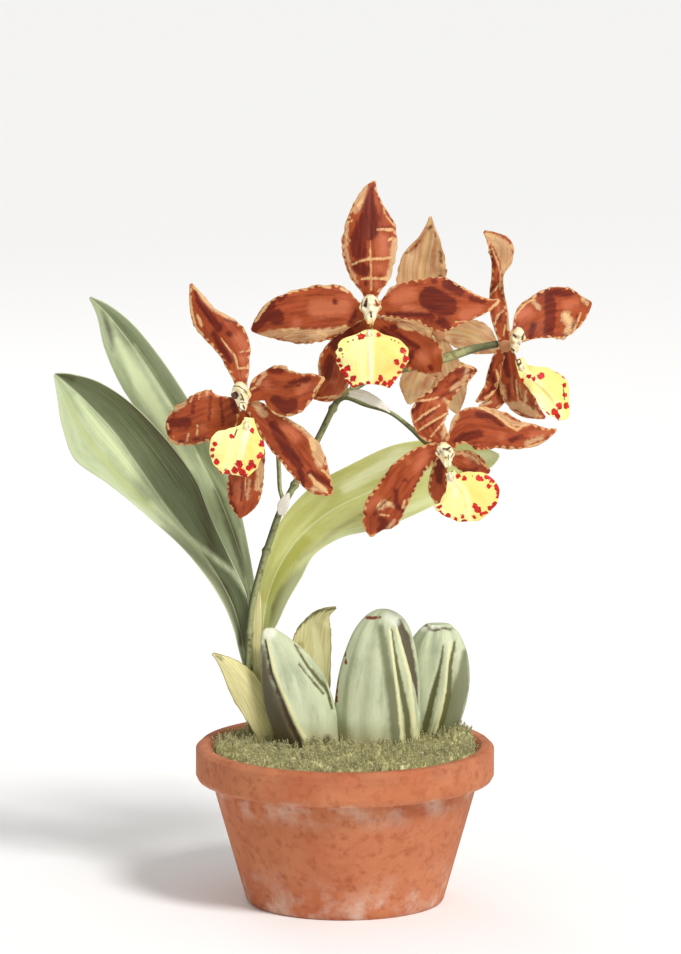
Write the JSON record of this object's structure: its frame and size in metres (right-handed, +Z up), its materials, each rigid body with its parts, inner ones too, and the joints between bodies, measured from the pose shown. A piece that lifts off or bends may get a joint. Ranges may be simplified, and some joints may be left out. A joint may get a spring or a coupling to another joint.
{
  "type": "potted odontoglossum insleayi orchid",
  "caption": "Orchid plant in a shallow terracotta pan, with moss, ribbed pseudobulbs, folded leaves and a spray of brown and yellow flowers.",
  "frame": {"origin": "centre of the pot's flat foot, on the surface that it stands on", "axes": "+Z up, -Y towards the side that the flowers face, +X to the right seen from that side"},
  "size_m": [0.2692, 0.15, 0.3664],
  "materials": {
    "terracotta": "unglazed fired clay, matt",
    "bark": "composted bark, matt",
    "moss": "living sphagnum, matt and fibrous",
    "rhizome": "woody, dull",
    "pseudobulb": "waxy skin, satin",
    "sheath": "papery, dull",
    "leaf": "leathery, satin",
    "young_leaf": "leathery, satin",
    "stem": "waxy, satin",
    "bract": "papery, dull",
    "tepal": "waxy petal, satin, brown-red with pale margins and bars",
    "lip": "waxy petal, satin, yellow with red spots round the margin",
    "column": "waxy, satin, cream"
  },
  "bodies": {
    "root": {"pot": "terracotta", "compost": "bark", "moss": "moss", "rhizome": "rhizome", "pseudobulb_1": "pseudobulb", "pseudobulb_2": "pseudobulb", "pseudobulb_3": "pseudobulb", "young_bulb": "pseudobulb", "sheath_outer": "sheath", "sheath_inner": "sheath", "sheath_old": "sheath", "leaf_1": "leaf", "leaf_2": "leaf", "leaf_3": "young_leaf", "flower_stem": "stem", "bract_lower": "bract", "bract_upper": "bract", "flower_1_tepals": "tepal", "flower_1_lip": "lip", "flower_1_column": "column", "flower_2_tepals": "tepal", "flower_2_lip": "lip", "flower_2_column": "column", "flower_3_tepals": "tepal", "flower_3_lip": "lip", "flower_3_column": "column", "flower_4_tepals": "tepal", "flower_4_lip": "lip", "flower_4_column": "column", "flower_5_tepals": "tepal", "flower_5_lip": "lip", "flower_5_column": "column"}
  },
  "joints": []
}
